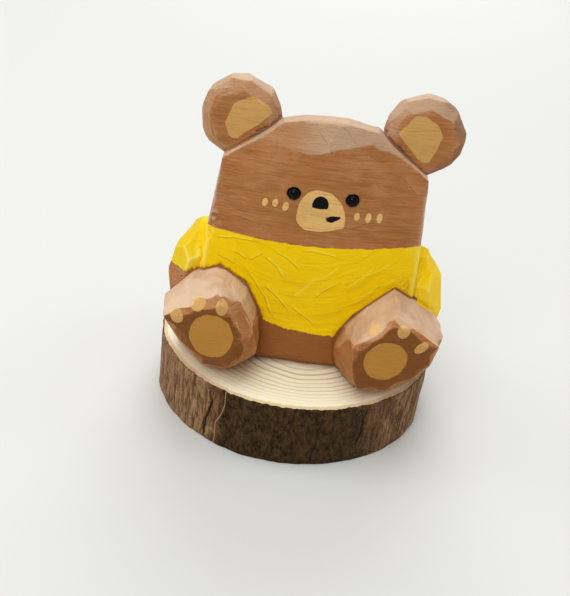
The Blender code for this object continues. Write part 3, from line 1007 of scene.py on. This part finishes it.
def bark_relief(turn, up, hand):
    """How far the bark stands out at each turn and height, in mm, with its tone, the darkness of
    its cracks, and the pale edge of the flake.

    Broad ridges and narrow furrows lean round it as on the CAD slice. Finer fibres that run
    upright, cracks and the flake's edge go on top.
    """
    degrees = np.degrees(turn)
    flow = FURROWS * turn + 1.7 * np.sin(3 * turn) + 1.3 * np.sin(2.6 * up + 2 * turn)
    ridges = np.abs(np.sin(flow / 2)) ** 0.7
    wander = np.sin(2 * turn + 0.6) + 0.6 * np.sin(3 * turn + 2.1) + 0.4 * np.sin(5 * turn + 4.0)
    lean = turn + 0.03 * up * np.sin(4 * turn)
    fibres = 0.5 * lattice_noise(lean, up, 130, 3, hand)
    fibres += 0.32 * lattice_noise(lean, up, 310, 5, hand)
    fibres += 0.2 * lattice_noise(lean, up, 480, 16, hand)
    lumps = lattice_noise(turn, up, 60, 6, hand)
    tone = np.interp(degrees, *np.array(BARK_TONES).T)
    tone = np.clip(tone + 0.12 * lattice_noise(turn, up, 70, 4, hand), 0, 1)
    cracks = crack_darkness(degrees, up, hand)
    flake_turn = np.interp(up, *np.array(FLAKE).T) + 0.25 * np.sin(14 * up)
    beyond = np.radians(degrees - flake_turn) * ROUND_RADIUS
    flake = hill(beyond + 0.1, 0.42)
    step = rise(beyond, -0.1, 0.5) * (1 - rise(beyond, 6.0, 26.0))
    under = rise(beyond, -4.2, -0.3) * (1 - rise(beyond, -0.3, 0.2))
    furrows = rise(1 - ridges, 0.55, 1.0)
    relief = 0.3 * wander + 0.28 * ridges + 0.17 * fibres + 0.12 * lumps - 0.85 * cracks
    relief += 0.16 * step - 0.2 * under + 0.14 * flake
    return relief, tone, np.maximum(cracks, 0.45 * furrows), flake


def slice_mesh(node):
    """The slice of log as one closed surface: its underside from the middle out, its bark from
    the foot up, then its top from the rim in. Distances are in mm until the end."""
    hand = np.random.default_rng(11)
    low, high = (np.array(corner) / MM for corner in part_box(node))
    thick = high[2] - low[2]
    turn_row = np.arange(LOG_TURNS) * (2 * math.pi / LOG_TURNS)
    turn, up = np.meshgrid(turn_row, np.linspace(0, 1, BARK_ROWS))
    relief, tone, cracks, flake = bark_relief(turn, up, hand)
    sides = np.clip(np.minimum(up, 1 - up) * thick / RIM_ROUNDING_HEIGHT, 0, 1)
    radius = BARK_RADIUS + relief - RIM_ROUNDING * (1 - sides) ** 2

    # the top's rows step in from the rim, closely over the bark's own thickness
    steps = np.concatenate([RIM_STEPS, np.linspace(*TOP_STEPS)])[:, None]
    top_radius = radius[-1] - 0.2 * steps.clip(0, 3)
    top_radius = np.maximum(top_radius - steps * (radius[-1] - 0.6) / ROUND_RADIUS, 0.05)
    chipped = 0.5 * lattice_noise(turn[:1], up[:1] * 0, 210, 1, hand) + 0.5
    chipped += 0.4 * lattice_noise(turn[:1], up[:1] * 0, 520, 1, hand)
    chipped = chipped.clip(0, 1.2)
    top_chips, last_chips, next_chips = (depth * chipped for depth in CHIP_DEPTHS)
    top_height = thick - top_chips * np.exp(-((steps / 0.8) ** 2)) - 0.02
    bark_height = up * thick
    bark_height[-1] -= last_chips[0] + 0.05
    bark_height[-2] -= next_chips[0]
    bottom_radius = radius[0] * np.array(BOTTOM_SHARES)[:, None]
    all_radius = np.vstack([bottom_radius, radius, top_radius])
    all_height = np.vstack([bottom_radius * 0, bark_height, top_height * np.ones((1, LOG_TURNS))])
    points, quads, fans = lathe(all_radius, all_height, LOG_TURNS)
    points[:, :2] -= (points.max(0) + points.min(0))[:2] / 2
    points = np.clip(points, low, high)
    mesh = bpy.data.meshes.new("log_slice")
    mesh.from_pydata(points * MM, [], quads.tolist() + fans.tolist())

    # end grain above and below in the first slot, bark in the second
    first, last = len(bottom_radius), len(bottom_radius) + BARK_ROWS
    rows = np.repeat(np.arange(len(all_radius) - 1), LOG_TURNS)
    bark = (rows >= first - 1) & (rows < last)
    slots = np.concatenate([np.where(bark, 1, 0), np.zeros(len(fans), int)])
    mesh.polygons.foreach_set("material_index", slots.astype(np.int32))

    def all_rows(bottom, sides, top, middles):
        below, above = np.full(bottom_radius.size, bottom), top * np.ones(top_radius.shape)
        return np.concatenate([below, sides.ravel(), above.ravel(), middles])

    set_attribute(mesh, "tone", all_rows(0.5, tone, 0.5, (0.5, 0.5)))
    set_attribute(mesh, "crack", all_rows(0.0, cracks, 0.0, (0.0, 0.0)))
    set_attribute(mesh, "flake", all_rows(0.0, flake, 0.0, (0.0, 0.0)))
    inward = all_rows(5.0, np.zeros(radius.shape), radius[-1] - top_radius, (5.0, 40.0))
    set_attribute(mesh, "inward", inward)
    return mesh


BARE_DARK = linear(84, 56, 34)
BARE_LIGHT = linear(162, 124, 84)
BARE_THREAD = linear(184, 150, 112)
BARE_RED = linear(112, 68, 40)
MOSS_DARK = linear(27, 17, 5)
MOSS_LIGHT = linear(82, 60, 27)
MOSS_RED = linear(92, 62, 36)
MOSS_DRY = linear(124, 100, 68)
MOSS_THREAD = linear(112, 84, 48)
BARK_BETWEEN = linear(94, 60, 36)
BARK_GRIT = linear(40, 25, 12)
BARK_CRACK = linear(30, 18, 10)
FLAKE_PALE = linear(196, 160, 112)
BARK_SAWN = linear(162, 114, 66)
GRAIN_DEEP = linear(255, 249, 216)
GRAIN_PALE = linear(255, 253, 232)
LATE_WOOD = linear(203, 170, 106)
GRAIN_SPECK = linear(222, 194, 146)
RIM_WOOD = linear(214, 180, 124)


def bark_finish():
    """Dry bark: grey-brown fibres on the bare stretches, dark olive brown where moss has dulled
    it, red-brown between the two, nearly black in its cracks and pale along the flake's edge."""
    bark = Finish("bark")
    place = bark.place()
    tone, crack, flake, inward = (
        bark.attribute(name) for name in ("tone", "crack", "flake", "inward")
    )
    fibres = bark.noise(place, (0.8, 0.8, 0.12), detail=5, roughness=0.65, warp=0.6)
    threads = bark.noise(place, (1.7, 1.7, 0.3), detail=4, roughness=0.65, warp=0.4)
    blotches = bark.noise(place, (0.28, 0.28, 0.16), detail=4, roughness=0.6)
    grit = bark.noise(place, (1.3, 1.3, 0.9), detail=4, roughness=0.7)
    clumps = bark.noise(place, (0.75, 0.75, 0.42), detail=5, roughness=0.75, warp=0.3)
    bare = bark.coats(
        BARE_DARK,
        (bark.step(fibres, 0.38, 0.6), BARE_LIGHT),
        (bark.step(threads, 0.52, 0.68) * 0.6, BARE_THREAD),
        (bark.step(blotches, 0.52, 0.7) * 0.4, BARE_RED),
    )
    mossy = bark.coats(
        MOSS_DARK,
        (bark.step(clumps, 0.36, 0.64), MOSS_LIGHT),
        (bark.step(blotches, 0.52, 0.66) * 0.5, MOSS_RED),
        (bark.step(clumps, 0.6, 0.8) * 0.5, MOSS_DRY),
        (bark.step(threads, 0.55, 0.75) * 0.4, MOSS_THREAD),
    )
    between = tone - 0.47
    between = bark.step(between.sum("ABSOLUTE", between), 0.16, 0.05)
    height = fibres * 0.6 + threads * 0.4 + grit * 0.6 + clumps * 0.9 * tone
    bark.shade(
        Base_Color=bark.coats(
            bare,
            (bark.step(tone + (grit - 0.5) * 0.5, 0.25, 0.75), mossy),
            (between * 0.35, BARK_BETWEEN),
            (bark.step(grit, 0.53, 0.68) * 0.65, BARK_GRIT),
            (bark.step(crack + (grit - 0.5) * 0.3, 0.2, 0.7) * 0.9, BARK_CRACK),
            (bark.step(flake, 0.35, 0.8) * 0.75, FLAKE_PALE),
            (bark.step(inward + (grit - 0.5) * 0.9, 0.15, 0.9), BARK_SAWN),
        ),
        Roughness=0.82 - fibres * 0.12,
        Normal=bark.bumps(height, 0.6),
        Specular_IOR_Level=0.15,
    )
    return bark.material


def end_grain_finish():
    """Sanded pale softwood, cut across. Its rings are circles that run from the pith to the bark:
    a ring's share of the way is where the point lies on a circle whose middle has moved back
    from the pith by that share and whose radius is that share of the rim's. Each ring darkens
    slowly outwards and ends at a sharp edge."""
    wood = Finish("end_grain")
    place = wood.place()
    shift = wood.noise(place, (0.05, 0.05, 0.0), detail=2, out="Color")
    shift = wood.vector("SCALE", wood.vector("SUBTRACT", shift, (0.5, 0.5, 0.5)), Scale=3.0)
    flat = wood.vector("MULTIPLY", wood.vector("ADD", place, shift), (1, 1, 0))
    pith = (*PITH, 0.0)
    offset = wood.vector("SUBTRACT", flat, pith)
    towards = wood.vector("DOT_PRODUCT", offset, pith, out="Value")
    square = wood.vector("DOT_PRODUCT", offset, offset, out="Value")
    room = RING_RIM**2 - PITH[0] ** 2 - PITH[1] ** 2
    share = (towards + (towards * towards + square * room) ** 0.5) / room
    rings = share**1.75 * RING_COUNT
    years = rings.sum("FLOOR", rings)
    in_year = rings - years
    settings = {"noise_dimensions": "1D"}
    strength = wood.node("ShaderNodeTexWhiteNoise", settings, {"W": years}, out="Value")
    late = wood.step(in_year, 0.55, 0.92) * wood.step(in_year, 1.0, 0.95)
    late = late * (0.55 + strength * 0.45) * wood.step(share, 1.1, 0.55)
    fine = wood.noise(place, (1.8, 1.8, 1.8), detail=4, roughness=0.6)
    grain = wood.noise(flat, (0.5, 0.5, 0.5), detail=4)
    rim = wood.step(wood.attribute("inward") + (fine - 0.5) * 1.2, 2.0, 1.0)
    wood.shade(
        Base_Color=wood.coats(
            GRAIN_DEEP,
            (wood.step(grain, 0.3, 0.7), GRAIN_PALE),
            (late * 0.85, LATE_WOOD),
            (wood.step(fine, 0.55, 0.8) * 0.2, GRAIN_SPECK),
            (rim * 0.7, RIM_WOOD),
        ),
        Roughness=0.62 + late * 0.1,
        Normal=wood.bumps(fine * 0.5 + late * 0.6, 0.08),
        Specular_IOR_Level=0.2,
    )
    return wood.material


# The stage, its lights and the camera

FLOOR_REACH = 6.0  # m
FLOOR_PALE = linear(217, 218, 215)
SKY_PALE = (1.0, 0.99, 0.975, 1.0)
SKY_STRENGTH = 0.32
LAMP_TARGET = (0.0, 0.0, 0.06)
# Soft round lamps: name, place and size in m, power in W
LAMPS = (
    ("behind", (0.05, 1.1, 0.85), 1.3, 11.0),
    ("overhead", (-0.15, -0.1, 1.0), 0.8, 4.3),
    ("front", (-0.35, -0.95, 0.95), 0.8, 6.0),
    ("left", (-1.2, 0.15, 0.35), 0.8, 3.6),
    ("right", (1.2, 0.25, 0.35), 0.8, 3.4),
)


def stage():
    """A wide pale floor, a pale sky all round, and five large soft lamps."""
    floor_mesh = bpy.data.meshes.new("floor")
    corners = [(-1, -1), (1, -1), (1, 1), (-1, 1)]
    points = [(FLOOR_REACH * across, FLOOR_REACH * along, 0) for across, along in corners]
    floor_mesh.from_pydata(points, [], [(0, 1, 2, 3)])
    floor = new_object("floor", floor_mesh)
    finish = Finish("pale_floor")
    finish.shade(Base_Color=FLOOR_PALE, Roughness=0.9, Specular_IOR_Level=0.1)
    floor_mesh.materials.append(finish.material)
    world = bpy.data.worlds.new("soft_sky")
    world.use_nodes = True
    sky = world.node_tree.nodes["Background"].inputs
    sky["Color"].default_value = SKY_PALE
    sky["Strength"].default_value = SKY_STRENGTH
    bpy.context.scene.world = world
    for settings in LAMPS:
        lamp(*settings)


def lamp(name, place, size, power):
    light = bpy.data.lights.new(name, "AREA")
    light.shape = "DISK"
    light.size = size
    light.energy = power
    made = new_object(name, light)
    made.visible_camera = False
    turned = (Vector(LAMP_TARGET) - Vector(place)).to_track_quat("-Z", "Y")
    made.matrix_world = Matrix.Translation(place) @ turned.to_matrix().to_4x4()


def camera():
    """Stands at the given distance from its target, turned round it and raised, then rolled."""
    turn, up, roll = (math.radians(a) for a in (CAMERA_TURN, CAMERA_RISE, CAMERA_ROLL))
    back = Vector((math.sin(turn) * math.cos(up), -math.cos(turn) * math.cos(up), math.sin(up)))
    level = Vector((math.cos(turn), math.sin(turn), 0))
    upright = back.cross(level)
    right = math.cos(roll) * level + math.sin(roll) * upright
    above = -math.sin(roll) * level + math.cos(roll) * upright
    lens = bpy.data.cameras.new("camera")
    lens.sensor_width = SENSOR
    lens.lens = FOCAL_PIXELS * SENSOR / max(PICTURE)
    lens.shift_x = (PICTURE[0] / 2 - PICTURE_MIDDLE[0]) / max(PICTURE)
    lens.shift_y = (PICTURE_MIDDLE[1] - PICTURE[1] / 2) / max(PICTURE)
    lens.clip_start = 0.01
    made = new_object("camera", lens)
    turned = Matrix((right, above, back)).transposed().to_4x4()
    place = (Vector(CAMERA_TARGET) + back * CAMERA_DISTANCE) * MM
    made.matrix_world = Matrix.Translation(place) @ turned
    bpy.context.scene.camera = made


def main():
    bear = finish_piece("bear_skin", carved_skin(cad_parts["bear"]), "painted_wood", "bear")
    bear.data.materials.clear()
    bear.data.materials.append(BearPaint().finished())
    glass = bead_finish()
    for side in ("left", "right"):
        low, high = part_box(f"eye_{side}")
        mesh = bead((low + high) / 2, (high.z - low.z) / 2)
        mesh.materials.append(glass)
        finish_piece(f"bead_{side}", mesh, "eye_bead", f"eye_{side}")
    mesh = slice_mesh("wood_slice")
    mesh.materials.append(end_grain_finish())
    mesh.materials.append(bark_finish())
    finish_piece("log_slice", mesh, "log", "wood_slice")
    stage()
    camera()
    bpy.context.scene.view_settings.view_transform = "Standard"


main()
